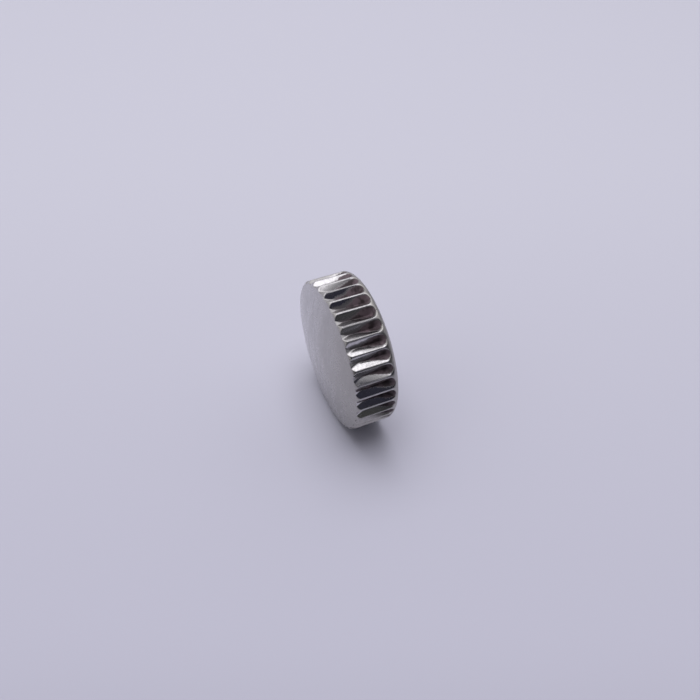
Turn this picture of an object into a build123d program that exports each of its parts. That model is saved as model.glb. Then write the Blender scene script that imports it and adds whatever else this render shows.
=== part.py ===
"""Water-resistant watch crown: a fluted steel head with a low domed face, and two seals for the case tube.

Every piece is turned about the Y axis. The domed face looks along -Y, the watch case lies along +Y.
The origin is on the axis, at the mouth of the bore that the case tube enters. Z is up, and the crown
stands on its flutes. All lengths are in millimetres and all angles in degrees.
"""

import os
from math import asin, cos, degrees, radians, sin, tan

from build123d import *

# Head, outside
head_diameter = 5.30
dome_rise = 0.316
front_round_length = 0.14
front_round_height = 0.13
crest_length = 1.16
back_round_length = 0.21
back_round_height = 0.15

# Flutes: V grooves, shallow at the face, deeper at their round back ends, with a narrow land between
flute_count = 34
flute_depth_front = 0.10
flute_depth_back = 0.22
flute_run_out = 0.085
crest_land = 0.05

# Case tube and winding stem that the crown is made for
tube_diameter = 2.50
stem_tap_drill = 0.72
stem_tap_depth = 0.78

# Stem post, pressed and brazed into the head
post_diameter = 1.30
post_seat_depth = 0.15
post_setback = 0.04
post_edge_chamfer = 0.04
post_countersink = 0.06
drill_point_angle = 118

# Seal chamber: washer, gasket, washer, gasket, all held in by the retaining ring
washer_thickness = 0.10
washer_width = 0.20
washer_play = 0.02
washer_edge_play = 0.03
gasket_width = 0.55
gasket_height = 0.38
gasket_squeeze = 0.12
gasket_corner_radius = 0.14
gasket_corner_limit_share = 0.45

# Retaining ring, pressed into a step at the mouth
ring_thickness = 0.22
ring_press_width = 0.10
ring_recess = 0.04
ring_tube_clearance = 0.04
ring_bore_chamfer = 0.03
rim_chamfer = 0.03

# One overrun for every cut that has to leave the metal
cut_overrun = 0.20

# Radii
head_radius = head_diameter / 2
post_radius = post_diameter / 2
tap_radius = stem_tap_drill / 2
tube_radius = tube_diameter / 2
gasket_bore_radius = tube_radius - gasket_squeeze
chamber_radius = gasket_bore_radius + gasket_width
ring_outer_radius = chamber_radius + ring_press_width
ring_bore_radius = tube_radius + ring_tube_clearance
rim_radius = head_radius - back_round_height

# Places along the axis, from the rim that faces the case to the top of the dome
rim_y = ring_recess
crest_back_y = rim_y - back_round_length
crest_front_y = crest_back_y - crest_length
dome_edge_y = crest_front_y - front_round_length
dome_top_y = dome_edge_y - dome_rise
ring_inner_y = -ring_thickness
outer_gasket_y = ring_inner_y - gasket_height
spacer_y = outer_gasket_y - washer_play - washer_thickness
inner_gasket_y = spacer_y - washer_play - gasket_height
base_washer_y = inner_gasket_y - washer_play - washer_thickness
chamber_floor_y = base_washer_y - washer_play
post_foot_y = chamber_floor_y - post_seat_depth
post_mouth_y = ring_inner_y - post_setback

os.makedirs("parts", exist_ok=True)


# Flute cutter: a V prism over the top of the head, from its shallow to its deep end, and a cone there
flute_pitch = 360 / flute_count
land_angle = degrees(crest_land / head_radius)
mouth_half_angle = radians((flute_pitch - land_angle) / 2)
mouth_x = head_radius * sin(mouth_half_angle)
mouth_z = head_radius * cos(mouth_half_angle)
cutter_top_z = head_radius + cut_overrun
cutter_top_x = mouth_x + cut_overrun * tan(mouth_half_angle)
flute_end_y = crest_back_y + flute_run_out - mouth_x
depth_slope = (flute_depth_back - flute_depth_front) / (flute_end_y - dome_edge_y)
cutter_front_y = dome_edge_y - cut_overrun
cutter_front_z = head_radius - flute_depth_front + depth_slope * cut_overrun
cutter_back_z = head_radius - flute_depth_back
with BuildPart() as flute_cutter:
    for section_y, floor_z in ((cutter_front_y, cutter_front_z), (flute_end_y, cutter_back_z)):
        with BuildSketch(Plane(origin=(0, section_y, 0), x_dir=(1, 0, 0), z_dir=(0, -1, 0))):
            with BuildLine():
                Polyline(
                    (0, floor_z),
                    (mouth_x, mouth_z),
                    (cutter_top_x, cutter_top_z),
                    (-cutter_top_x, cutter_top_z),
                    (-mouth_x, mouth_z),
                    close=True,
                )
            make_face()
    loft(ruled=True)
    with BuildSketch(Plane(origin=(0, flute_end_y, 0), x_dir=(1, 0, 0), z_dir=(0, -1, 0))):
        with BuildLine():
            Polyline(
                (0, cutter_back_z),
                (mouth_x, mouth_z),
                (cutter_top_x, cutter_top_z),
                (0, cutter_top_z),
                close=True,
            )
        make_face()
    revolve(axis=Axis((0, flute_end_y, 0), (0, 0, 1)), revolution_arc=180)


# Head: the turned blank with its round edges, then the chamber, the post's seat and the flutes
dome_radius = ((head_radius - front_round_height) ** 2 + dome_rise**2) / (2 * dome_rise)
dome_edge_radius = head_radius - front_round_height
dome_slope = asin(dome_edge_radius / dome_radius)
with BuildPart() as head:
    with BuildSketch(Plane.XY):
        with BuildLine():
            Line((0, rim_y), (0, dome_top_y))
            RadiusArc((0, dome_top_y), (dome_edge_radius, dome_edge_y), -dome_radius)
            TangentArc(
                (dome_edge_radius, dome_edge_y),
                (head_radius, crest_front_y),
                tangent=(cos(dome_slope), sin(dome_slope)),
            )
            Line((head_radius, crest_front_y), (head_radius, crest_back_y))
            TangentArc((head_radius, crest_back_y), (rim_radius, rim_y), tangent=(0, 1))
            Line((rim_radius, rim_y), (0, rim_y))
        make_face()
    revolve(axis=Axis.Y)
    with BuildSketch(Plane.XY):
        with BuildLine():
            Polyline(
                (0, post_foot_y),
                (post_radius, post_foot_y),
                (post_radius, chamber_floor_y),
                (chamber_radius, chamber_floor_y),
                (chamber_radius, ring_inner_y),
                (ring_outer_radius, ring_inner_y),
                (ring_outer_radius, rim_y - rim_chamfer),
                (ring_outer_radius + rim_chamfer, rim_y),
                (ring_outer_radius + rim_chamfer, rim_y + cut_overrun),
                (0, rim_y + cut_overrun),
                close=True,
            )
        make_face()
    revolve(axis=Axis.Y, mode=Mode.SUBTRACT)
    for number in range(flute_count):
        turn = Rotation(0, number * flute_pitch, 0)
        add(turn * flute_cutter.part, mode=Mode.SUBTRACT)
head.part.label = "head"
export_step(head.part, "parts/head.step")


# Stem post: a stepless pin with the tapped hole for the winding stem
drill_point_depth = tap_radius / tan(radians(drill_point_angle / 2))
tap_floor_y = post_mouth_y - stem_tap_depth
with BuildPart() as stem_post:
    with BuildSketch(Plane.XY):
        with BuildLine():
            Polyline(
                (0, post_foot_y),
                (post_radius, post_foot_y),
                (post_radius, post_mouth_y - post_edge_chamfer),
                (post_radius - post_edge_chamfer, post_mouth_y),
                (tap_radius + post_countersink, post_mouth_y),
                (tap_radius, post_mouth_y - post_countersink),
                (tap_radius, tap_floor_y),
                (0, tap_floor_y - drill_point_depth),
                close=True,
            )
        make_face()
    revolve(axis=Axis.Y)
stem_post.part.label = "stem_post"
export_step(stem_post.part, "parts/stem_post.step")


# Washers: a base washer under the inner gasket and a spacer between the gaskets, both free to turn
washer_outer_radius = chamber_radius - washer_edge_play
washer_bore_radius = washer_outer_radius - washer_width
for washer_name, low_y in (("base_washer", base_washer_y), ("spacer_ring", spacer_y)):
    with BuildPart() as washer:
        with BuildSketch(Plane.XY):
            with BuildLine():
                Polyline(
                    (washer_bore_radius, low_y),
                    (washer_outer_radius, low_y),
                    (washer_outer_radius, low_y + washer_thickness),
                    (washer_bore_radius, low_y + washer_thickness),
                    close=True,
                )
            make_face()
        revolve(axis=Axis.Y)
    washer.part.label = washer_name
    export_step(washer.part, f"parts/{washer_name}.step")


# Gaskets: two rubber rings, full against the chamber wall and a little smaller than the case tube
gasket_corner_limit = gasket_corner_limit_share * min(gasket_width, gasket_height)
gasket_corner = min(gasket_corner_radius, gasket_corner_limit)
for gasket_name, low_y in (("inner_gasket", inner_gasket_y), ("outer_gasket", outer_gasket_y)):
    with BuildPart() as gasket:
        with BuildSketch(Plane.XY) as gasket_section:
            with BuildLine():
                Polyline(
                    (gasket_bore_radius, low_y),
                    (chamber_radius, low_y),
                    (chamber_radius, low_y + gasket_height),
                    (gasket_bore_radius, low_y + gasket_height),
                    close=True,
                )
            make_face()
            fillet(gasket_section.vertices(), radius=gasket_corner)
        revolve(axis=Axis.Y)
    gasket.part.label = gasket_name
    export_step(gasket.part, f"parts/{gasket_name}.step")


# Retaining ring: pressed into the step at the mouth, its bore guides the case tube
with BuildPart() as retaining_ring:
    with BuildSketch(Plane.XY):
        with BuildLine():
            Polyline(
                (ring_bore_radius, ring_inner_y),
                (ring_outer_radius, ring_inner_y),
                (ring_outer_radius, 0),
                (ring_bore_radius + ring_bore_chamfer, 0),
                (ring_bore_radius, -ring_bore_chamfer),
                close=True,
            )
        make_face()
    revolve(axis=Axis.Y)
retaining_ring.part.label = "retaining_ring"
export_step(retaining_ring.part, "parts/retaining_ring.step")
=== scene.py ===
"""Watch crown: a fluted steel head with a low dome, and inside it a tapped post and a seal for the case tube.

The seal is two gaskets and two washers, held in by a ring. The crown stands on its flutes on a pale table.
Its axis is Y: the dome looks along -Y, and the watch case would be along +Y. Lengths are in metres, written
as millimetres times MM, and angles are in radians. A name that ends in _MM or in degrees says otherwise.
"""

import bpy
import numpy as np
from mathutils import Matrix, Vector


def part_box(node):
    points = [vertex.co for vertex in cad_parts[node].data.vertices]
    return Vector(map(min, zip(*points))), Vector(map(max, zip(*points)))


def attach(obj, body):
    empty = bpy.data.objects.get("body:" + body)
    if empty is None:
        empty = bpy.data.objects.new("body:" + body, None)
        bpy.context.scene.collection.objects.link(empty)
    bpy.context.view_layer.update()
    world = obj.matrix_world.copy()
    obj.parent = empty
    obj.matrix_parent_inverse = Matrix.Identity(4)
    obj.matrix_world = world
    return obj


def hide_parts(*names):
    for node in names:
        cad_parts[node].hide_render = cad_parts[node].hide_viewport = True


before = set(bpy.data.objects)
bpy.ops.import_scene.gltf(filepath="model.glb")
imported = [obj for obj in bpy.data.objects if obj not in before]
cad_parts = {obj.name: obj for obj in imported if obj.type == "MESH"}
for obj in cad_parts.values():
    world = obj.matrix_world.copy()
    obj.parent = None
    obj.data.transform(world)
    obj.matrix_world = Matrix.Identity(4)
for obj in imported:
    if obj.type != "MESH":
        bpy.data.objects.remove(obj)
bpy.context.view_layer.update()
MM = 0.001


# Head
# One piece of stainless steel: a low dome with round shoulders, thirty-four V flutes round the edge, and a
# stepped chamber bored in from the case side. It is turned, milled and polished, then worn by fingers.
head_low, head_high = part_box("head")
post_low, post_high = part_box("stem_post")
ring_low, ring_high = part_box("retaining_ring")
seal_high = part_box("inner_gasket")[1]
base_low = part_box("base_washer")[0]
HEAD_RADIUS = head_high.x
RIM_Y = head_high.y
DOME_TOP_Y = head_low.y
BACK_ROUND_LENGTH = 0.21 * MM
BACK_ROUND_HEIGHT = 0.15 * MM
CREST_LENGTH = 1.16 * MM
FRONT_ROUND_LENGTH = 0.14 * MM
FRONT_ROUND_HEIGHT = 0.13 * MM
CREST_BACK_Y = RIM_Y - BACK_ROUND_LENGTH
CREST_FRONT_Y = CREST_BACK_Y - CREST_LENGTH
DOME_EDGE_Y = CREST_FRONT_Y - FRONT_ROUND_LENGTH
DOME_EDGE_RADIUS = HEAD_RADIUS - FRONT_ROUND_HEIGHT
RIM_RADIUS = HEAD_RADIUS - BACK_ROUND_HEIGHT

FLUTES = 34
FLUTE_PITCH = 2 * np.pi / FLUTES
FLUTE_DEPTH_FRONT = 0.10 * MM
FLUTE_DEPTH_BACK = 0.22 * MM
FLUTE_FLOOR_BEND = 3.0
FLUTE_AHEAD_SHARE = 0.2
WALL_SLOPE_FRONT = 0.75
WALL_SLOPE_BACK = 1.00
FLUTE_RUN_OUT = 0.085 * MM
CREST_LAND = 0.05 * MM
FLUTE_MOUTH = HEAD_RADIUS * np.sin((FLUTE_PITCH - CREST_LAND / HEAD_RADIUS) / 2)
FLUTE_END_Y = CREST_BACK_Y + FLUTE_RUN_OUT - FLUTE_MOUTH
FLUTE_FLOOR_ROUND = 0.020 * MM
SHOULDER_EDGE_ROUND = 0.003 * MM
CREST_EDGE_ROUND = 0.009 * MM
BACK_EDGE_ROUND = 0.024 * MM
EDGE_GROWTH_LENGTH = 0.2 * MM
BACK_EDGE_LEAD = 0.1 * MM
TAIL_HALF_WIDTH = 0.013 * MM
TAIL_DEPTH = 0.006 * MM
TAIL_FADE = 0.03 * MM
COLUMNS_PER_FLUTE = 30
COLUMN_CROWDING = 0.72


def tangent_arc(start, heading, end, shares):
    """Points of the circle that leaves start along heading and passes through end.

    The chord from start to end, c long, lies at an angle d from the heading. The point at share s of the
    whole turn lies c * sin(d s) / sin(d) from start, along the heading turned by d s.
    """
    chord = np.subtract(end, start)
    swing = np.arctan2(chord[1], chord[0]) - heading
    reach = np.hypot(*chord) * np.sin(swing * shares) / np.sin(swing)
    along = heading + swing * shares
    return np.add(start, np.stack([reach * np.cos(along), reach * np.sin(along)], axis=1))


def rounded(corners, cut_back, steps=4):
    """The outline through corners, with each inner corner replaced by a parabola.

    The parabola runs from a point cut_back before the corner C to a point cut_back after it, as
    (1 - s)^2 A + 2 s (1 - s) C + s^2 B for s from 0 to 1. The two end points stay.
    """
    corners = np.asarray(corners, float)
    share = np.linspace(0, 1, steps)[:, None]
    before = corners[:-2] - corners[1:-1]
    after = corners[2:] - corners[1:-1]
    start = corners[1:-1] + before / np.linalg.norm(before, axis=1)[:, None] * cut_back
    end = corners[1:-1] + after / np.linalg.norm(after, axis=1)[:, None] * cut_back
    curve = (
        (1 - share) ** 2 * start[:, None]
        + 2 * share * (1 - share) * corners[1:-1, None]
        + share**2 * end[:, None]
    )
    return np.vstack([corners[:1], curve.reshape(-1, 2), corners[-1:]])


def turned_grid(radius, y, angle):
    """Points at radius round the Y axis: x is r sin(angle) and z is r cos(angle)."""
    radius, y, angle = np.broadcast_arrays(radius, y, angle)
    return np.stack([radius * np.sin(angle), y, radius * np.cos(angle)], axis=-1)


def skin(name, grid, ring=False, sharp_degrees=40):
    """A closed mesh over a grid of points, rows along the outline and columns round the axis.

    Columns wrap round. Rows wrap too if ring is True. Otherwise the first and last rows are each on the
    axis and become a single point there. Faces turn outwards where rows run towards +Y on the outside.
    Edges where faces meet at more than sharp_degrees stay sharp.
    """
    rows, columns = grid.shape[:2]
    index = np.arange(rows * columns).reshape(rows, columns)
    if ring:
        index = np.vstack([index, index[:1]])
    following = np.roll(index, -1, axis=1)
    quads = np.stack([index[:-1], following[:-1], following[1:], index[1:]], axis=-1)
    points = grid.reshape(-1, 3)
    if ring:
        corners, sizes = quads.reshape(-1), np.full(quads.shape[0] * columns, 4)
    else:
        first, last = quads[0][:, [0, 2, 3]].copy(), quads[-1][:, [0, 1, 2]].copy()
        first[:, 0], last[:, 2] = index[0, 0], index[-1, 0]
        corners = np.concatenate([first.ravel(), quads[1:-1].ravel(), last.ravel()])
        sizes = np.concatenate([np.full(columns, 3), np.full((rows - 3) * columns, 4), np.full(columns, 3)])
        keep = np.ones(len(points), bool)
        keep[1:columns] = False
        keep[-columns + 1 :] = False
        corners = (np.cumsum(keep) - 1)[corners]
        points = points[keep]
    mesh = bpy.data.meshes.new(name)
    mesh.vertices.add(len(points))
    mesh.vertices.foreach_set("co", points.astype(np.float32).ravel())
    mesh.loops.add(len(corners))
    mesh.loops.foreach_set("vertex_index", corners.astype(np.int32))
    mesh.polygons.add(len(sizes))
    mesh.polygons.foreach_set("loop_start", np.concatenate([[0], np.cumsum(sizes)[:-1]]).astype(np.int32))
    mesh.polygons.foreach_set("loop_total", sizes.astype(np.int32))
    mesh.update(calc_edges=True)
    mesh.validate()
    mesh.shade_smooth()
    mesh.set_sharp_from_angle(angle=np.radians(sharp_degrees))
    piece = bpy.data.objects.new(name, mesh)
    bpy.context.scene.collection.objects.link(piece)
    return piece


def mark(piece, name, values):
    """Keeps one number per vertex on the mesh, for the material to read. Values follow the skin's grid."""
    flat = values.ravel()
    columns = values.shape[1]
    if len(flat) != len(piece.data.vertices):
        flat = np.concatenate([flat[:1], flat[columns:-columns], flat[-1:]])
    piece.data.attributes.new(name, "FLOAT", "POINT").data.foreach_set("value", flat.astype(np.float32))


def soft_lower(first, second, width):
    """The lower of two heights, blended over width where they meet, so that the edge is a small round."""
    share = np.clip(0.5 + 0.5 * (second - first) / width, 0, 1)
    return second + (first - second) * share - width * share * (1 - share)


def flute_surface(across, y, deepen, end_shift):
    """Radius of the flutes' walls at a distance across a flute's centre line, at place y.

    The walls fall from the lands towards the floor's line, at a slope that grows as s^2 from front to back.
    Behind FLUTE_END_Y they fall towards the line's end, so the end is half a cone. The floor cuts the V off
    at a depth that grows as 1 - (1 - s)^FLUTE_FLOOR_BEND, for the share s of its length. The whole depth
    is multiplied by deepen, and end_shift moves the end along Y.
    """
    end_y = FLUTE_END_Y + end_shift
    along = np.clip((y - DOME_EDGE_Y) / (end_y - DOME_EDGE_Y), -FLUTE_AHEAD_SHARE, 1)
    sunk = 1 - (1 - along) ** FLUTE_FLOOR_BEND
    floor_depth = FLUTE_DEPTH_FRONT + (FLUTE_DEPTH_BACK - FLUTE_DEPTH_FRONT) * sunk
    distance = np.sqrt(across**2 + np.clip(y - end_y, 0, None) ** 2)
    mouth_drop = HEAD_RADIUS * (1 - np.cos(FLUTE_PITCH / 2 - CREST_LAND / HEAD_RADIUS / 2))
    slope = WALL_SLOPE_FRONT + (WALL_SLOPE_BACK - WALL_SLOPE_FRONT) * np.clip(along, 0, 1) ** 2
    wall_depth = mouth_drop + slope * (FLUTE_MOUTH - distance)
    angle = np.arcsin(across / HEAD_RADIUS)
    return (HEAD_RADIUS - soft_lower(floor_depth, wall_depth, FLUTE_FLOOR_ROUND) * deepen) / np.cos(angle)


# The outside profile, from the middle of the dome to the corner of the rim, with rows close together
# where the flutes run out at the shoulder and at their round ends
DOME_ROWS = 13
DOME_CROWDING = 1.35
SHOULDER_ROWS = 13
CREST_FRONT_ROWS = 6
CREST_FRONT_SPAN_MM = (0.012, 0.10)
CREST_MIDDLE_ROWS = 12
CREST_MIDDLE_START = 0.16 * MM
CREST_MIDDLE_GAP = 0.03 * MM
CREST_BACK_ROWS = 10
BACK_ROUND_ROWS = 21
dome_shares = 1 - np.linspace(1, 0, DOME_ROWS) ** DOME_CROWDING
shoulder_shares = np.linspace(0, 1, SHOULDER_ROWS)[1:]
back_shares = np.linspace(0, 1, BACK_ROUND_ROWS)[1:]
dome = tangent_arc((DOME_TOP_Y, 0), np.pi / 2, (DOME_EDGE_Y, DOME_EDGE_RADIUS), dome_shares)
dome_slope = 2 * np.arctan2(DOME_EDGE_RADIUS, DOME_EDGE_Y - DOME_TOP_Y) - np.pi / 2
shoulder = tangent_arc(dome[-1], dome_slope, (CREST_FRONT_Y, HEAD_RADIUS), shoulder_shares)
crest_y = np.concatenate([
    CREST_FRONT_Y + np.linspace(*CREST_FRONT_SPAN_MM, CREST_FRONT_ROWS) * MM,
    np.linspace(CREST_FRONT_Y + CREST_MIDDLE_START, FLUTE_END_Y - CREST_MIDDLE_GAP, CREST_MIDDLE_ROWS),
    np.linspace(FLUTE_END_Y, CREST_BACK_Y, CREST_BACK_ROWS),
])
crest = np.stack([crest_y, np.full_like(crest_y, HEAD_RADIUS)], axis=1)
back_round = tangent_arc((CREST_BACK_Y, HEAD_RADIUS), 0, (RIM_Y, RIM_RADIUS), back_shares)
outside = np.vstack([dome, shoulder, crest, back_round])

# The inside profile, from the rim's flat face through the ring's seat and the chamber to the post's seat
RIM_CHAMFER = 0.03 * MM
INNER_CORNER = 0.012 * MM
WASHER_PLAY = 0.02 * MM
seat_radius = ring_high.x
chamber_radius = seal_high.x
chamber_floor_y = base_low.y - WASHER_PLAY
inside = rounded(
    [
        (RIM_Y, RIM_RADIUS),
        (RIM_Y, seat_radius + RIM_CHAMFER),
        (RIM_Y - RIM_CHAMFER, seat_radius),
        (ring_low.y, seat_radius),
        (ring_low.y, chamber_radius),
        (chamber_floor_y, chamber_radius),
        (chamber_floor_y, post_high.x),
        (post_low.y, post_high.x),
        (post_low.y, 0),
    ],
    INNER_CORNER,
    steps=3,
)
inside = np.insert(inside[1:], 0, (RIM_Y, RIM_RADIUS - INNER_CORNER), axis=0)
profile = np.vstack([outside, inside])

# Each flute differs a little: its depth, its line and where it ends
SEED = 34
DEPTH_SPREAD = 0.025
LINE_SPREAD_MM = 0.003
END_SPREAD_MM = 0.008


def per_column(values):
    """A row with each flute's value repeated for that flute's columns."""
    return np.repeat(values, COLUMNS_PER_FLUTE)[None, :]


maker = np.random.default_rng(SEED)
deepen = per_column(1 + maker.normal(0, DEPTH_SPREAD, FLUTES))
sideways = per_column(maker.normal(0, LINE_SPREAD_MM, FLUTES) * MM)
end_shift = per_column(maker.normal(0, END_SPREAD_MM, FLUTES) * MM)
share = np.arange(COLUMNS_PER_FLUTE) / COLUMNS_PER_FLUTE - 0.5
share = share - COLUMN_CROWDING * np.sin(4 * np.pi * share) / (4 * np.pi)
angle = ((np.arange(FLUTES)[:, None] + share) * FLUTE_PITCH).reshape(1, -1)
across = np.tile(HEAD_RADIUS * np.sin(share * FLUTE_PITCH), FLUTES) - sideways

outer_y, outer_radius = outside[:, :1], outside[:, 1:]
walls = flute_surface(across, outer_y, deepen, end_shift)
edge_places = [CREST_FRONT_Y, CREST_FRONT_Y + EDGE_GROWTH_LENGTH, FLUTE_END_Y - BACK_EDGE_LEAD, CREST_BACK_Y]
edge_rounds = [SHOULDER_EDGE_ROUND, CREST_EDGE_ROUND, CREST_EDGE_ROUND, BACK_EDGE_ROUND]
edge_round = np.interp(outer_y, edge_places, edge_rounds)
radius = soft_lower(np.broadcast_to(outer_radius, walls.shape), walls, edge_round)

# Behind each flute's round end the cutter left a thin tail that runs out over the back edge
tail_open = np.clip((outer_y - FLUTE_END_Y) / (CREST_BACK_Y - FLUTE_END_Y), 0, 1)
tail_close = np.clip((RIM_Y - outer_y) / TAIL_FADE, 0, 1)
tail = TAIL_DEPTH * np.clip(1 - np.abs(across) / TAIL_HALF_WIDTH, 0, 1) * tail_open * tail_close
radius = radius - tail

# Nicks on the crests, each a small dent where the crown was knocked
NICKS = 70
NICK_SIZES_MM = (0.012, 0.035)
NICK_DEPTHS_MM = (0.002, 0.007)
crest_rows = (outer_y > DOME_EDGE_Y).ravel()
for _ in range(NICKS):
    crest_number = maker.integers(FLUTES)
    nick_y = maker.uniform(CREST_FRONT_Y, CREST_BACK_Y)
    size = maker.uniform(*NICK_SIZES_MM) * MM
    depth = maker.uniform(*NICK_DEPTHS_MM) * MM
    round_way = HEAD_RADIUS * np.angle(np.exp(1j * (angle - (crest_number + 0.5) * FLUTE_PITCH)))
    dent = np.exp(-((round_way / size) ** 2) - ((outer_y[crest_rows] - nick_y) / size) ** 2)
    radius[crest_rows] -= depth * dent

HEAD_SHARP_DEGREES = 24
inner_radius = np.broadcast_to(inside[:, 1:], (len(inside), angle.size))
all_radius = np.vstack([radius, inner_radius])
head = skin("crown_head", turned_grid(all_radius, profile[:, :1], angle), sharp_degrees=HEAD_SHARP_DEGREES)

# What the material reads: how deep in its flute a point lies, how far along it and how far across it, and
# whether the point is on the fluted part or on the dome
FLUTED_FADE = 0.05 * MM
HOLLOW_GAIN = 12
hollow = np.zeros_like(all_radius)
hollow[: len(outside)] = np.clip((outer_radius - radius) / FLUTE_DEPTH_BACK, 0, 1)
mark(head, "flute_depth", hollow)
length_share = np.clip((profile[:, :1] - CREST_FRONT_Y) / (CREST_BACK_Y - CREST_FRONT_Y), 0, 1)
mark(head, "flute_along", np.broadcast_to(length_share, all_radius.shape))
mark(head, "flute_across", np.broadcast_to(across / FLUTE_MOUTH, all_radius.shape))
fluted = np.zeros_like(all_radius)
fluted[: len(outside)] = np.clip((outer_y - CREST_FRONT_Y) / FLUTED_FADE + 1, 0, 1)
fluted = np.maximum(fluted, np.clip(hollow * HOLLOW_GAIN, 0, 1))
mark(head, "fluted_part", fluted)

# Skin dirt differs from flute to flute. There is more on the flutes towards +X, and most where they lie low
SOIL_SIDE_GAIN = 2.2
SOIL_LOW_COSINE = 0.57
SOIL_LOW_SPAN = 0.25
SOIL_LOW_EXTRA = 0.8
SOIL_SHARES = (0.6, 1.0)
lying_low = np.clip((SOIL_LOW_COSINE - np.cos(angle)) / SOIL_LOW_SPAN, 0, 1)
soiled = np.clip(0.5 + SOIL_SIDE_GAIN * np.sin(angle), 0, 1) * (1 + SOIL_LOW_EXTRA * lying_low)
soiled = soiled * per_column(maker.uniform(*SOIL_SHARES, FLUTES))
mark(head, "flute_soil", np.broadcast_to(soiled, all_radius.shape))


def node(tree, kind, inputs=(), **settings):
    """Adds a shader node. Inputs are numbers, colours or the outputs of other nodes, by socket name."""
    made = tree.nodes.new("ShaderNode" + kind)
    for name, value in settings.items():
        setattr(made, name, value)
    for name, value in dict(inputs).items():
        if isinstance(value, bpy.types.NodeSocket):
            tree.links.new(value, made.inputs[name])
        else:
            made.inputs[name].default_value = value
    return made


def math(tree, operation, first, second):
    """The output of one Math node."""
    return node(tree, "Math", {0: first, 1: second}, operation=operation).outputs[0]


def plus(tree, value, addition, share):
    """Value plus a share of the addition. A share below zero takes away."""
    return math(tree, "ADD", value, math(tree, "MULTIPLY", addition, share))


def ramp(tree, value, low, high, start=0.0, end=1.0):
    """Value from low to high becomes start to end, with a smooth step and no overshoot."""
    inputs = {"Value": value, "From Min": low, "From Max": high, "To Min": start, "To Max": end}
    return node(tree, "MapRange", inputs, interpolation_type="SMOOTHSTEP").outputs["Result"]


def between(tree, share, first, second):
    """A number between two numbers."""
    return node(tree, "Mix", {"Factor": share, 2: first, 3: second}).outputs[0]


def blend(tree, share, first, second, how="MIX"):
    """A colour between two colours, or their product where how is MULTIPLY."""
    inputs = {"Factor": share, 6: first, 7: second}
    return node(tree, "Mix", inputs, data_type="RGBA", blend_type=how).outputs[2]


def noise(tree, where, scale, detail, roughness=0.5):
    """A cloudy value round 0.5, with detail finer layers laid over clouds of about 1 / scale."""
    inputs = {"Vector": where, "Scale": scale, "Detail": detail, "Roughness": roughness}
    return node(tree, "TexNoise", inputs).outputs["Fac"]


def group(name, inputs, outputs):
    """An empty node group with named number, colour or vector sockets, and its two end nodes."""
    tree = bpy.data.node_groups.new(name, "ShaderNodeTree")
    for label, kind in inputs:
        tree.interface.new_socket(label, in_out="INPUT", socket_type="NodeSocket" + kind)
    for label, kind in outputs:
        tree.interface.new_socket(label, in_out="OUTPUT", socket_type="NodeSocket" + kind)
    return tree, tree.nodes.new("NodeGroupInput").outputs, tree.nodes.new("NodeGroupOutput").inputs


def place(tree, made_group, inputs):
    """Places a group in a material and gives back its outputs."""
    return node(tree, "Group", inputs, node_tree=made_group).outputs


# Each direction of the scratches: its turn about the axis, how much finer it is across, and a shift
SCRATCH_DIRECTIONS = ((0.35, 34, 1.7), (1.25, 27, 5.1), (2.3, 41, 9.4))
SCRATCH_LIMIT = 0.80
SCRATCH_LIMIT_FALL = 0.22
SCRATCH_EDGE = 0.05


def fine_scratches():
    """Thin straight scratches in three directions: noise stretched along each one, kept where it peaks."""
    tree, given, result = group(
        "fine_scratches", [("Vector", "Vector"), ("Coverage", "Float")], [("Mask", "Float")]
    )
    limit = plus(tree, SCRATCH_LIMIT, given["Coverage"], -SCRATCH_LIMIT_FALL)
    full = math(tree, "ADD", limit, SCRATCH_EDGE)
    total = 0.0
    for turn, fineness, shift in SCRATCH_DIRECTIONS:
        turned = node(tree, "Mapping", {
            "Vector": given["Vector"],
            "Location": (shift, shift, shift),
            "Rotation": (0.0, turn, 0.0),
            "Scale": (0.9, 1.0, fineness),
        }).outputs[0]
        streak = {"Value": noise(tree, turned, 1.0, 2.0), "From Min": limit, "From Max": full}
        total = math(tree, "MAXIMUM", total, node(tree, "MapRange", streak).outputs["Result"])
    tree.links.new(total, result["Mask"])
    return tree


def satin_grain():
    """The faint unevenness of polished metal: a cloud of slow waves, and a height of them and fine grain."""
    tree, given, result = group(
        "satin_grain", [("Vector", "Vector")], [("Height", "Float"), ("Cloud", "Float")]
    )
    slow = noise(tree, given["Vector"], 1.6, 3.0)
    fine = noise(tree, given["Vector"], 55.0, 3.0)
    tree.links.new(plus(tree, slow, fine, 0.10), result["Height"])
    tree.links.new(slow, result["Cloud"])
    return tree


def wiped_smears():
    """Traces that wiping leaves: smears, specks and a fine mottle.

    A smear is broad noise, four times longer along Z than across, mixed 6 to 4 with finer noise. The specks
    are the peaks of a finer noise still, and the mottle is the upper part of one like it.
    """
    tree, given, result = group(
        "wiped_smears", [("Vector", "Vector")], [(label, "Float") for label in ("Smear", "Speck", "Mottle")]
    )
    stretched = node(tree, "Mapping", {"Vector": given["Vector"], "Scale": (1.0, 1.0, 0.25)}).outputs[0]
    broad = math(tree, "MULTIPLY", noise(tree, stretched, 3.4, 4.0), 0.6)
    mixed = plus(tree, broad, noise(tree, given["Vector"], 9.0, 5.0), 0.4)
    dots = noise(tree, given["Vector"], 13.0, 2.0)
    fine = noise(tree, given["Vector"], 11.0, 4.0, roughness=0.65)
    tree.links.new(ramp(tree, mixed, 0.36, 0.64), result["Smear"])
    tree.links.new(ramp(tree, dots, 0.63, 0.72), result["Speck"])
    tree.links.new(ramp(tree, fine, 0.40, 0.64), result["Mottle"])
    return tree


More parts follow.
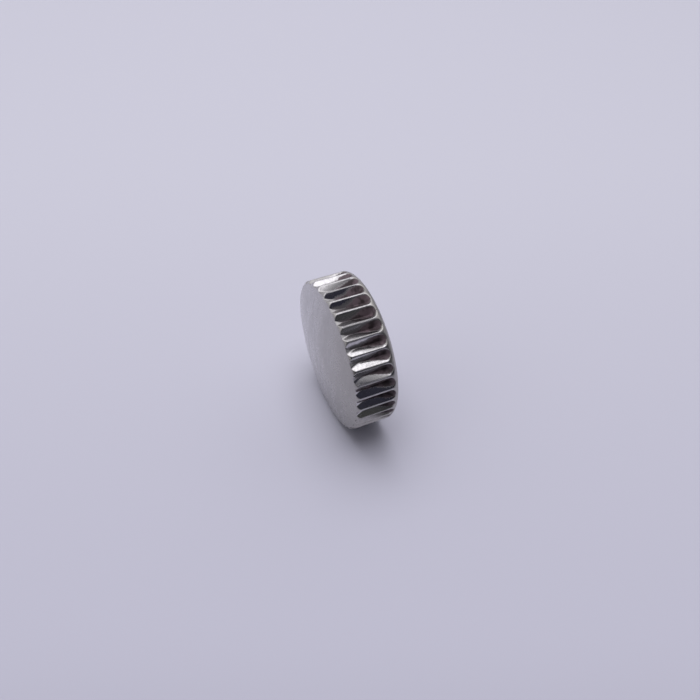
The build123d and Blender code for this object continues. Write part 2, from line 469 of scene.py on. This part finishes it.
def packed_grime():
    """Dirt that skin and dust leave in a flute, and the thinner film round it.

    A level is the depth, plus noise, plus a share of the way along the flute, with more near its back, minus
    a share of the way across. The soil raises it on the side where Across is below zero. The dirt is full
    where the raised level passes a limit. The film is raised more, and comes in earlier and more softly.
    """
    tree, given, result = group(
        "packed_grime",
        [("Vector", "Vector")] + [(label, "Float") for label in ("Depth", "Along", "Across", "Soil")],
        [("Mask", "Float"), ("Film", "Float"), ("Tone", "Float")],
    )
    patch = noise(tree, given["Vector"], 4.5, 4.0)
    speck = noise(tree, given["Vector"], 24.0, 3.0)
    patchy = math(tree, "MULTIPLY", math(tree, "SUBTRACT", patch, 0.5), 0.5)
    level = math(tree, "ADD", given["Depth"], plus(tree, patchy, math(tree, "SUBTRACT", speck, 0.5), 0.35))
    level = plus(tree, level, given["Along"], 0.30)
    level = plus(tree, level, given["Across"], -0.10)
    level = math(tree, "ADD", level, ramp(tree, given["Along"], 0.40, 0.95, 0.0, 0.42))
    soiled = math(tree, "MULTIPLY", ramp(tree, given["Across"], 0.25, -0.25), given["Soil"])
    to_back = ramp(tree, given["Along"], 0.1, 0.8)
    most_soiled = ramp(tree, given["Soil"], 1.0, 1.7, 0.0, 0.30)
    packed = plus(tree, level, soiled, plus(tree, most_soiled, to_back, 0.22))
    filmed = plus(tree, level, soiled, ramp(tree, to_back, 0.0, 1.0, 0.42, 0.65))
    inside_flute = ramp(tree, given["Depth"], 0.04, 0.16)
    tree.links.new(math(tree, "MULTIPLY", ramp(tree, packed, 0.82, 0.96), inside_flute), result["Mask"])
    tree.links.new(math(tree, "MULTIPLY", ramp(tree, filmed, 0.72, 1.04), inside_flute), result["Film"])
    tree.links.new(patch, result["Tone"])
    return tree


scratches_group = fine_scratches()
grain_group = satin_grain()
smear_group = wiped_smears()
grime_group = packed_grime()
TO_MILLIMETRES = (1000.0, 1000.0, 1000.0)


def millimetres(tree):
    """The piece's own coordinates in millimetres, for textures at a real scale."""
    where = node(tree, "TexCoord").outputs["Object"]
    return node(tree, "Mapping", {"Vector": where, "Scale": TO_MILLIMETRES}).outputs[0]


def new_material(name):
    """A material with an empty tree and its output."""
    material = bpy.data.materials.new(name)
    material.use_nodes = True
    material.node_tree.nodes.clear()
    return material, material.node_tree, node(material.node_tree, "OutputMaterial").inputs["Surface"]


def attribute(tree, name):
    """A number kept on the mesh."""
    return node(tree, "Attribute", attribute_name=name).outputs["Fac"]


def bumped(tree, surface, height, bump_depth, inputs):
    """Ends a material: the main shader with its inputs, and a bump of the height, bump_depth deep."""
    bump = node(tree, "Bump", {"Height": height, "Distance": bump_depth, "Strength": 1.0}).outputs[0]
    shader = node(tree, "BsdfPrincipled", {**inputs, "Normal": bump})
    tree.links.new(shader.outputs[0], surface)


WHITE = (1, 1, 1, 1)
STEEL_DARK = (0.57, 0.56, 0.555, 1)
STEEL_LIGHT = (0.64, 0.628, 0.625, 1)
FILM_COLOUR = (0.195, 0.174, 0.182, 1)
DIRT_DARK = (0.043, 0.031, 0.033, 1)
DIRT_LIGHT = (0.130, 0.096, 0.106, 1)
# Painted shade: this tint darkens the dome towards +X, and the flutes towards the bottom and at the back edge
PAINTED_SHADE_TINT = (0.72, 0.71, 0.665, 1)
SMEAR_COLOUR = (0.30, 0.29, 0.285, 1)
DOME_ROUGHNESS = 0.25
FLUTE_ROUGHNESS = 0.13
FILM_ROUGHNESS = 0.55
SMEAR_ROUGHNESS = 0.10
SCRATCH_ROUGHNESS = 0.16
LAND_ROUGHNESS = 0.21
MOTTLE_ROUGHNESS = 0.05
FILM_SHARE = 0.80
SMEAR_SHARE = 0.14
SPECK_SHARE = 0.25
MOTTLE_SHARE = 0.32
HEAD_SCRATCH_COVERAGE = 0.5
STEEL_BUMP = 0.0025 * MM


def polished_steel():
    """Polished stainless steel, satin on the dome, with brown dirt in the flutes and painted shade at +X and
    below.
    """
    material, tree, surface = new_material("polished_steel")
    where = millimetres(tree)
    grain = place(tree, grain_group, {"Vector": where})
    scratch = place(tree, scratches_group, {"Vector": where, "Coverage": HEAD_SCRATCH_COVERAGE})["Mask"]
    wiped = place(tree, smear_group, {"Vector": where})
    fluted_part = attribute(tree, "fluted_part")
    along = attribute(tree, "flute_along")
    deep = attribute(tree, "flute_depth")
    grime = place(tree, grime_group, {
        "Vector": where,
        "Depth": deep,
        "Along": along,
        "Across": attribute(tree, "flute_across"),
        "Soil": attribute(tree, "flute_soil"),
    })
    steel = blend(tree, grain["Cloud"], STEEL_DARK, STEEL_LIGHT)
    filmed = blend(tree, math(tree, "MULTIPLY", grime["Film"], FILM_SHARE), steel, FILM_COLOUR)
    parts = node(tree, "SeparateXYZ", {0: where}).outputs
    # Painted shade: a tint darkens the steel on the dome towards +X, and on the flutes towards the bottom and
    # at the back edge. dull carries this painted shade.
    shade_towards_x = ramp(tree, plus(tree, parts["X"], grain["Cloud"], 1.2), -1.1, 3.2)
    shade_low_and_back = math(tree, "MAXIMUM", ramp(tree, parts["Z"], 0.1, -0.9), ramp(tree, along, 0.94, 1.0, 0.0, 0.8))
    dull = blend(tree, between(tree, fluted_part, shade_towards_x, shade_low_and_back), WHITE, PAINTED_SHADE_TINT)
    filmed = blend(tree, 1.0, filmed, dull, how="MULTIPLY")
    mottle = math(tree, "MULTIPLY", wiped["Mottle"], fluted_part)
    marks = plus(tree, math(tree, "MULTIPLY", wiped["Smear"], SMEAR_SHARE), wiped["Speck"], SPECK_SHARE)
    filmed = blend(tree, plus(tree, marks, mottle, MOTTLE_SHARE), filmed, SMEAR_COLOUR)
    dirt = blend(tree, ramp(tree, grime["Tone"], 0.4, 0.6), DIRT_DARK, DIRT_LIGHT)
    satin = plus(tree, DOME_ROUGHNESS, wiped["Smear"], SMEAR_ROUGHNESS)
    land = math(tree, "MULTIPLY", ramp(tree, deep, 0.12, 0.0), fluted_part)
    worn = between(tree, fluted_part, satin, FLUTE_ROUGHNESS)
    for wear, roughness in (
        (scratch, SCRATCH_ROUGHNESS), (land, LAND_ROUGHNESS), (mottle, MOTTLE_ROUGHNESS)
    ):
        worn = plus(tree, worn, wear, roughness)
    height = plus(tree, plus(tree, grain["Height"], scratch, -0.25), grime["Mask"], 0.3)
    bumped(tree, surface, height, STEEL_BUMP, {
        "Base Color": blend(tree, grime["Mask"], filmed, dirt),
        "Metallic": math(tree, "SUBTRACT", 1.0, grime["Mask"]),
        "Roughness": between(tree, grime["Film"], worn, FILM_ROUGHNESS),
    })
    return material


head.data.materials.append(polished_steel())
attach(head, "crown")
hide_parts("head")


# Stem post
# A turned steel pin, pressed and brazed into the floor of the chamber. The winding stem screws into its
# tapped hole, a 0.9 mm thread with a pitch of 0.225 mm.
THREAD_MAJOR_RADIUS = 0.45 * MM
THREAD_PITCH = 0.225 * MM
THREAD_FLANK = 2.3
THREAD_FADE_START = 0.4
THREAD_ROWS = 74
TAP_RADIUS = 0.36 * MM
TAP_DEPTH = 0.78 * MM
POST_COUNTERSINK = 0.06 * MM
POST_CHAMFER = 0.04 * MM
POST_CORNER = 0.008 * MM
DRILL_POINT_ANGLE = np.radians(118)
DRILL_POINT_DEPTH = TAP_RADIUS / np.tan(DRILL_POINT_ANGLE / 2)
POST_COLUMNS = 120


def thread_radius(y, angle, mouth_y):
    """Radius of a right-hand thread's wall: a V wave between the tap drill and the major radius.

    The wave's phase is the distance below the mouth over the pitch, plus the share of a turn. The V's height
    is THREAD_FLANK times the way from half a pitch, cut off at 0 and 1. It fades out in the last pitch above
    the drill's point, where the tap stops.
    """
    phase = (mouth_y - y) / THREAD_PITCH + angle / (2 * np.pi)
    wave = np.clip(THREAD_FLANK / 2 - THREAD_FLANK * np.abs(phase % 1 - 0.5), 0, 1)
    floor_y = mouth_y - TAP_DEPTH
    fade = np.clip((y - floor_y) / THREAD_PITCH - THREAD_FADE_START, 0, 1)
    return TAP_RADIUS + (THREAD_MAJOR_RADIUS - TAP_RADIUS) * wave * fade


mouth_y = post_high.y
post_angle = np.linspace(0, 2 * np.pi, POST_COLUMNS, endpoint=False)[None, :]
post_outside = rounded(
    [
        (post_low.y, 0),
        (post_low.y, post_high.x),
        (mouth_y - POST_CHAMFER, post_high.x),
        (mouth_y, post_high.x - POST_CHAMFER),
        (mouth_y, THREAD_MAJOR_RADIUS + POST_COUNTERSINK / 2),
        (mouth_y - POST_COUNTERSINK, THREAD_MAJOR_RADIUS - POST_COUNTERSINK / 2),
    ],
    POST_CORNER,
)
thread_y = np.linspace(mouth_y - POST_COUNTERSINK, mouth_y - TAP_DEPTH, THREAD_ROWS)[1:, None]
countersink_wall = post_outside[-1:, 1:]
wall = np.minimum(thread_radius(thread_y, post_angle, mouth_y), countersink_wall + (mouth_y - thread_y))
point_shares = np.array([[0.1], [0.5], [1.0]])
point_y = mouth_y - TAP_DEPTH - DRILL_POINT_DEPTH * point_shares
point_radius = TAP_RADIUS * (1 - point_shares)
post_y = np.vstack([post_outside[:, :1], thread_y, point_y])
post_radii = np.vstack([
    np.broadcast_to(post_outside[:, 1:], (len(post_outside), POST_COLUMNS)),
    wall,
    np.broadcast_to(point_radius, (len(point_radius), POST_COLUMNS)),
])
post = skin("stem_post_threaded", turned_grid(post_radii, post_y, post_angle))


def turning_marks():
    """The fine rings that a turning tool leaves: noise read by the distance from the axis plus Y."""
    tree, given, result = group(
        "turning_marks", [("Vector", "Vector"), ("Fineness", "Float")], [("Height", "Float")]
    )
    parts = node(tree, "SeparateXYZ", {0: given["Vector"]}).outputs
    squares = math(tree, "ADD", math(tree, "POWER", parts["X"], 2.0), math(tree, "POWER", parts["Z"], 2.0))
    distance = math(tree, "POWER", squares, 0.5)
    path = math(tree, "MULTIPLY", math(tree, "ADD", distance, parts["Y"]), given["Fineness"])
    rings = node(tree, "TexNoise", {"W": path, "Scale": 1.0, "Detail": 3.0}, noise_dimensions="1D")
    tree.links.new(rings.outputs["Fac"], result["Height"])
    return tree


turning_group = turning_marks()
TURNED_BUMP = 0.003 * MM


def turned_metal(name, dark, light, gloss, fineness=26.0):
    """Metal as it comes from the lathe or the press: fine rings, faint stains and scratches.

    The stains blend the dark and the light colour, and gloss is the roughness of the cleanest places.
    """
    material, tree, surface = new_material(name)
    where = millimetres(tree)
    rings = place(tree, turning_group, {"Vector": where, "Fineness": fineness})["Height"]
    grain = place(tree, grain_group, {"Vector": where})
    scratch = place(tree, scratches_group, {"Vector": where, "Coverage": 0.35})["Mask"]
    bumped(tree, surface, plus(tree, rings, grain["Height"], 0.4), TURNED_BUMP, {
        "Base Color": blend(tree, grain["Cloud"], dark, light),
        "Metallic": 1.0,
        "Roughness": plus(tree, plus(tree, gloss, grain["Cloud"], 0.12), scratch, 0.12),
    })
    return material


post_look = turned_metal("post_steel", dark=(0.46, 0.45, 0.42, 1), light=(0.56, 0.55, 0.52, 1), gloss=0.26)
post.data.materials.append(post_look)
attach(post, "crown")
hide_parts("stem_post")


# Washers
# Two flat rings stamped from brass sheet, one under the inner gasket and one between the gaskets. They lie
# loose, so that the rubber can turn on them without being dragged.
WASHER_WIDTH = 0.20 * MM
WASHER_CORNER = 0.012 * MM
WASHER_BURR = 0.006 * MM
RING_COLUMNS = 160
ring_angle = np.linspace(0, 2 * np.pi, RING_COLUMNS, endpoint=False)[None, :]


def closed_outline(corners, cut_back, steps=4):
    """A closed outline with every corner a small parabola, in the corners' order."""
    corners = list(corners)
    return rounded([corners[-1]] + corners + [corners[0]], cut_back, steps)[1:-1]


def turned_ring(name, outline):
    """A closed outline carried round the axis."""
    return skin(name, turned_grid(outline[:, 1:], outline[:, :1], ring_angle), ring=True)


brass = turned_metal(
    "stamped_brass", dark=(0.52, 0.36, 0.13, 1), light=(0.72, 0.52, 0.22, 1), gloss=0.24, fineness=9.0
)
for washer_name in ("base_washer", "spacer_ring"):
    low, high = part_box(washer_name)
    outer, bore = high.x, high.x - WASHER_WIDTH
    outline = closed_outline(
        [(low.y, outer), (high.y, outer - WASHER_BURR), (high.y, bore), (low.y, bore)], WASHER_CORNER
    )
    washer = turned_ring(washer_name + "_brass", outline)
    washer.data.materials.append(brass)
    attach(washer, washer_name)
    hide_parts(washer_name)


# Gaskets
# Two moulded rings of black nitrile rubber, full against the chamber's wall and 0.12 mm tighter than the
# case tube all round. Each has a thin line where the mould parted, and a trace of grease.
GASKET_WIDTH = 0.55 * MM
GASKET_CORNER = 0.17 * MM
GASKET_CORNER_STEPS = 9
PARTING_LINE = 0.006 * MM
PARTING_HALF_WIDTH = 0.02 * MM
RUBBER_BUMP = 0.006 * MM


def nitrile_rubber():
    """Black moulded rubber, dull, with a greasy sheen in patches and lint specks."""
    material, tree, surface = new_material("nitrile_rubber")
    where = millimetres(tree)
    patch = noise(tree, where, 3.2, 4.0)
    speck = noise(tree, where, 42.0, 2.0)
    colour = blend(tree, patch, (0.014, 0.014, 0.015, 1), (0.040, 0.040, 0.042, 1))
    height = plus(tree, math(tree, "MULTIPLY", patch, 0.6), speck, 0.4)
    bumped(tree, surface, height, RUBBER_BUMP, {
        "Base Color": blend(tree, ramp(tree, speck, 0.68, 0.74, 0.0, 0.5), colour, (0.20, 0.19, 0.18, 1)),
        "Roughness": ramp(tree, patch, 0.35, 0.7, 0.34, 0.62),
    })
    return material


rubber = nitrile_rubber()
for gasket_name in ("inner_gasket", "outer_gasket"):
    low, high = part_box(gasket_name)
    outer, bore, middle = high.x, high.x - GASKET_WIDTH, (low.y + high.y) / 2
    corners = [(low.y, outer), (high.y, outer), (high.y, bore), (low.y, bore)]
    outline = closed_outline(corners, GASKET_CORNER, GASKET_CORNER_STEPS)
    near_parting = np.clip(1 - np.abs(outline[:, 0] - middle) / PARTING_HALF_WIDTH, 0, 1)
    inward = np.where(outline[:, 1] < (outer + bore) / 2, 1, 0)
    outline[:, 1] += PARTING_LINE * near_parting * inward
    gasket = turned_ring(gasket_name + "_rubber", outline)
    gasket.data.materials.append(rubber)
    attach(gasket, "crown")
    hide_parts(gasket_name)


# Retaining ring
# A turned steel ring, pressed into the step at the chamber's mouth. It keeps the gaskets in, and its bore
# guides the crown on the case tube.
RING_CHAMFER = 0.03 * MM
RING_CORNER = 0.008 * MM
RING_BORE_RADIUS = 1.29 * MM
outline = closed_outline(
    [
        (ring_low.y, ring_high.x),
        (ring_high.y, ring_high.x),
        (ring_high.y, RING_BORE_RADIUS + RING_CHAMFER),
        (ring_high.y - RING_CHAMFER, RING_BORE_RADIUS),
        (ring_low.y, RING_BORE_RADIUS),
    ],
    RING_CORNER,
)
ring = turned_ring("retaining_ring_steel", outline)
ring_look = turned_metal("ring_steel", dark=(0.50, 0.49, 0.47, 1), light=(0.60, 0.59, 0.57, 1), gloss=0.20)
ring.data.materials.append(ring_look)
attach(ring, "crown")
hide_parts("retaining_ring")


# Table and light
# A pale lavender sheet under the crown, with painted shade: its colour fades darker towards the camera, and
# further out on that side it turns dark, a painted shadow. Two soft lamps hang over it in nearly the same
# place: the steel mirrors the weaker one, and the stronger one only lights. The room is light on one side,
# darker at the back and dark where the camera stands.
TABLE_HALF = 0.35
TABLE_FAR_COLOUR = (0.575, 0.573, 0.632, 1)
TABLE_NEAR_SHADED_COLOUR = (0.492, 0.487, 0.562, 1)
TABLE_FAR_DIRECTION = (-0.918, 0.396, 0.0)
TABLE_FADE = 0.018
TABLE_SHADE_COLOUR = (0.11, 0.11, 0.12, 1)
TABLE_SHADE_START = 0.0085
TABLE_SHADE_END = 0.026
table = bpy.data.objects.new("table", bpy.data.meshes.new("table"))
floor_z = head_low.z
table.data.from_pydata(
    [(x * TABLE_HALF, y * TABLE_HALF, floor_z) for x, y in ((-1, -1), (1, -1), (1, 1), (-1, 1))],
    [],
    [(0, 1, 2, 3)],
)
bpy.context.scene.collection.objects.link(table)
material, tree, surface = new_material("table_sheet")
table_place = node(tree, "TexCoord").outputs["Object"]
toward_far = {0: table_place, 1: TABLE_FAR_DIRECTION}
across_table = node(tree, "VectorMath", toward_far, operation="DOT_PRODUCT").outputs["Value"]
# Painted shade: the sheet is lighter far from the camera and darker near it. Past TABLE_SHADE_START towards
# the camera it turns dark, a painted shadow.
sheet = blend(tree, ramp(tree, across_table, -TABLE_FADE, TABLE_FADE), TABLE_NEAR_SHADED_COLOUR, TABLE_FAR_COLOUR)
sheet = blend(tree, ramp(tree, across_table, -TABLE_SHADE_START, -TABLE_SHADE_END), sheet, TABLE_SHADE_COLOUR)
sheet_look = {"Base Color": sheet, "Roughness": 0.85, "Specular IOR Level": 0.15}
tree.links.new(node(tree, "BsdfPrincipled", sheet_look).outputs[0], surface)
table.data.materials.append(material)

# The lamps' sizes are in metres and their powers in watts
MIRRORED_DIRECTION = Vector((-0.146, 0.04, 0.989)).normalized()
REST_DIRECTION = Vector((-0.160, 0.005, 0.987)).normalized()
LAMP_DISTANCE = 0.18
MIRRORED_SIZE = (0.104, 0.18)
REST_SIZE = (0.135, 0.20)
LAMP_MIRRORED_POWER = 0.055
LAMP_REST_POWER = 0.173
LAMP_COLOUR = (1.0, 0.99, 1.07)
for lamp_name, lamp_power, lamp_size, direction, mirrored in (
    ("soft_lamp", LAMP_MIRRORED_POWER, MIRRORED_SIZE, MIRRORED_DIRECTION, True),
    ("soft_lamp_diffused", LAMP_REST_POWER, REST_SIZE, REST_DIRECTION, False),
):
    lamp_data = bpy.data.lights.new(lamp_name, "AREA")
    lamp_data.shape = "RECTANGLE"
    lamp_data.size, lamp_data.size_y = lamp_size
    lamp_data.energy = lamp_power
    lamp_data.color = LAMP_COLOUR
    lamp = bpy.data.objects.new(lamp_name, lamp_data)
    lamp.location = direction * LAMP_DISTANCE
    lamp.rotation_mode = "QUATERNION"
    lamp.rotation_quaternion = direction.to_track_quat("Z", "Y")
    lamp.visible_camera = False
    lamp.visible_glossy = mirrored
    bpy.context.scene.collection.objects.link(lamp)

# The room is a sky. It is shaded by how near a direction is to the camera's side, how far it is to the back,
# which is +Y, and how high it is, all as parts of a direction of length 1. Each span is from none to full
ROOM_LIGHT = (0.53, 0.524, 0.575, 1)
CEILING = (0.92, 0.91, 0.95, 1)
ROOM_BACK = (0.33, 0.33, 0.37, 1)
ROOM_DARK = (0.034, 0.034, 0.052, 1)
ROOM_DARK_LOW = (0.085, 0.087, 0.085, 1)
CAMERA_SIDE = (0.88, 0.0, 0.47)
BACKDROP = (0.584, 0.578, 0.694, 1)
DARK_SPAN = (0.54, 0.68)
DARK_NOT_BACK_SPAN = (0.86, 0.60)
DUSK_SPAN = (0.36, 0.62)
DUSK_SHARE = 0.68
BACK_SPAN = (0.65, 0.95)
CEILING_SPAN = (0.35, 0.80)
DARK_LOW_SPAN = (0.60, 0.0)
world = bpy.data.worlds.new("room")
bpy.context.scene.world = world
world.use_nodes = True
tree = world.node_tree
tree.nodes.clear()
sky = node(tree, "TexCoord").outputs["Generated"]
toward_camera = {0: sky, 1: CAMERA_SIDE}
near_camera = node(tree, "VectorMath", toward_camera, operation="DOT_PRODUCT").outputs["Value"]
sky_parts = node(tree, "SeparateXYZ", {0: sky}).outputs
behind, height = sky_parts["Y"], sky_parts["Z"]
shade = math(
    tree, "MULTIPLY", ramp(tree, near_camera, *DARK_SPAN), ramp(tree, behind, *DARK_NOT_BACK_SPAN)
)
shade = math(tree, "MAXIMUM", shade, ramp(tree, near_camera, *DUSK_SPAN, 0.0, DUSK_SHARE))
light_side = blend(tree, ramp(tree, behind, *BACK_SPAN), ROOM_LIGHT, ROOM_BACK)
light_side = blend(tree, ramp(tree, height, *CEILING_SPAN), light_side, CEILING)
dark_side = blend(tree, ramp(tree, height, *DARK_LOW_SPAN), ROOM_DARK, ROOM_DARK_LOW)
room = blend(tree, shade, light_side, dark_side)
room_light = node(tree, "Background", {"Color": room, "Strength": 1.0})
backdrop = node(tree, "Background", {"Color": BACKDROP, "Strength": 1.0})
seen = node(tree, "LightPath").outputs["Is Camera Ray"]
mixed = node(tree, "MixShader", {0: seen, 1: room_light.outputs[0], 2: backdrop.outputs[0]})
tree.links.new(mixed.outputs[0], node(tree, "OutputWorld").inputs["Surface"])


# Camera
# It looks down on the flutes and the dome from the photograph's side. Its distance and lens give the
# crown the photograph's size and perspective. The aim is a place in the picture, in pixels.
VIEW_AZIMUTH = np.radians(66.676)
VIEW_ELEVATION = np.radians(46.067)
VIEW_DISTANCE_RADII = 9.017
PIXELS_PER_RADIUS = 77.272
AIM_X, AIM_Y = 330.113, 355.139
IMAGE_SIDE = 700
SENSOR = 36.0
NEAREST_SEEN = 0.5 * MM
FARTHEST_SEEN = 2.0
back = Vector((
    np.sin(VIEW_AZIMUTH) * np.cos(VIEW_ELEVATION),
    -np.cos(VIEW_AZIMUTH) * np.cos(VIEW_ELEVATION),
    np.sin(VIEW_ELEVATION),
))
right = (-back).cross(Vector((0, 0, 1))).normalized()
up = back.cross(right)
aim = Vector((0, CREST_FRONT_Y, 0))
radius_per_pixel = HEAD_RADIUS / PIXELS_PER_RADIUS
aside = right * (IMAGE_SIDE / 2 - AIM_X) + up * (AIM_Y - IMAGE_SIDE / 2)
camera_data = bpy.data.cameras.new("camera")
camera_data.sensor_width = SENSOR
camera_data.lens = PIXELS_PER_RADIUS * VIEW_DISTANCE_RADII * SENSOR / IMAGE_SIDE
camera_data.clip_start = NEAREST_SEEN
camera_data.clip_end = FARTHEST_SEEN
camera = bpy.data.objects.new("camera", camera_data)
camera.matrix_world = Matrix.Translation(
    aim + aside * radius_per_pixel + back * VIEW_DISTANCE_RADII * HEAD_RADIUS
) @ Matrix((right, up, back)).transposed().to_4x4()
bpy.context.scene.collection.objects.link(camera)
bpy.context.scene.camera = camera
bpy.context.scene.view_settings.view_transform = "Standard"
